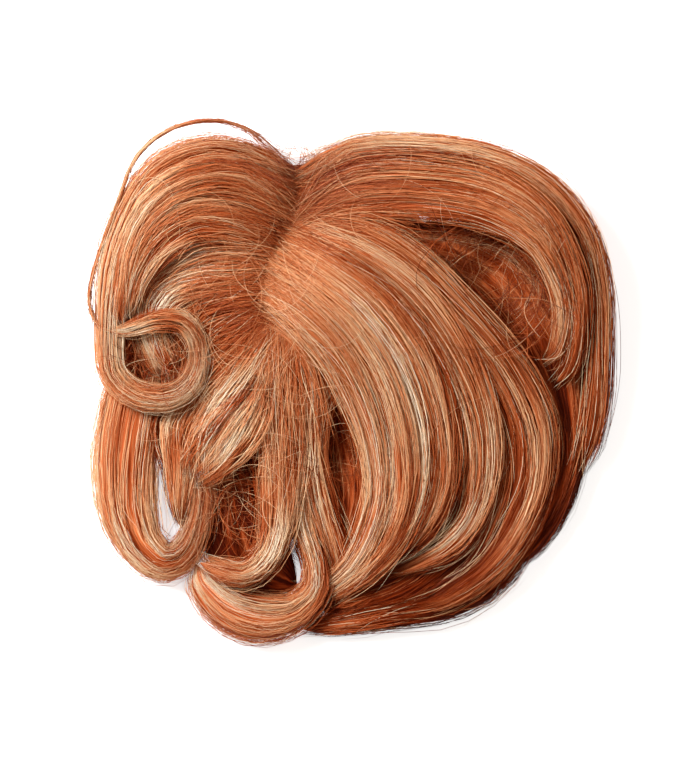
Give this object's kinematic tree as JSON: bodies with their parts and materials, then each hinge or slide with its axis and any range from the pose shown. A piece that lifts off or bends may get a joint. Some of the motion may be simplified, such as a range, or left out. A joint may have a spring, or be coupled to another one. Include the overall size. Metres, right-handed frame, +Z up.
{
  "type": "hair topper",
  "caption": "Clip-in hair topper of short copper hair, parted at the front over a domed net base, with swept wings and curled ends, lying on a surface.",
  "frame": {"origin": "on the table under the middle of the outline", "axes": "+Z up from the table, +Y to the front hairline where the parting starts, +X to the side that the long hair falls to"},
  "size_m": [0.231, 0.2314, 0.0415],
  "materials": {
    "net": "fine net, matt",
    "clip": "brown enamel, satin",
    "under_hair": "short hair, dark copper",
    "hair": "combed hair, copper, soft sheen"
  },
  "bodies": {
    "root": {"base_cap": "net", "clip_front": "clip", "clip_back": "clip", "clip_left": "clip", "clip_right": "clip", "under_hair": "under_hair", "left_wing": "hair", "right_fall": "hair", "right_roll": "hair", "back_curls": "hair", "left_curls": "hair"}
  },
  "joints": []
}
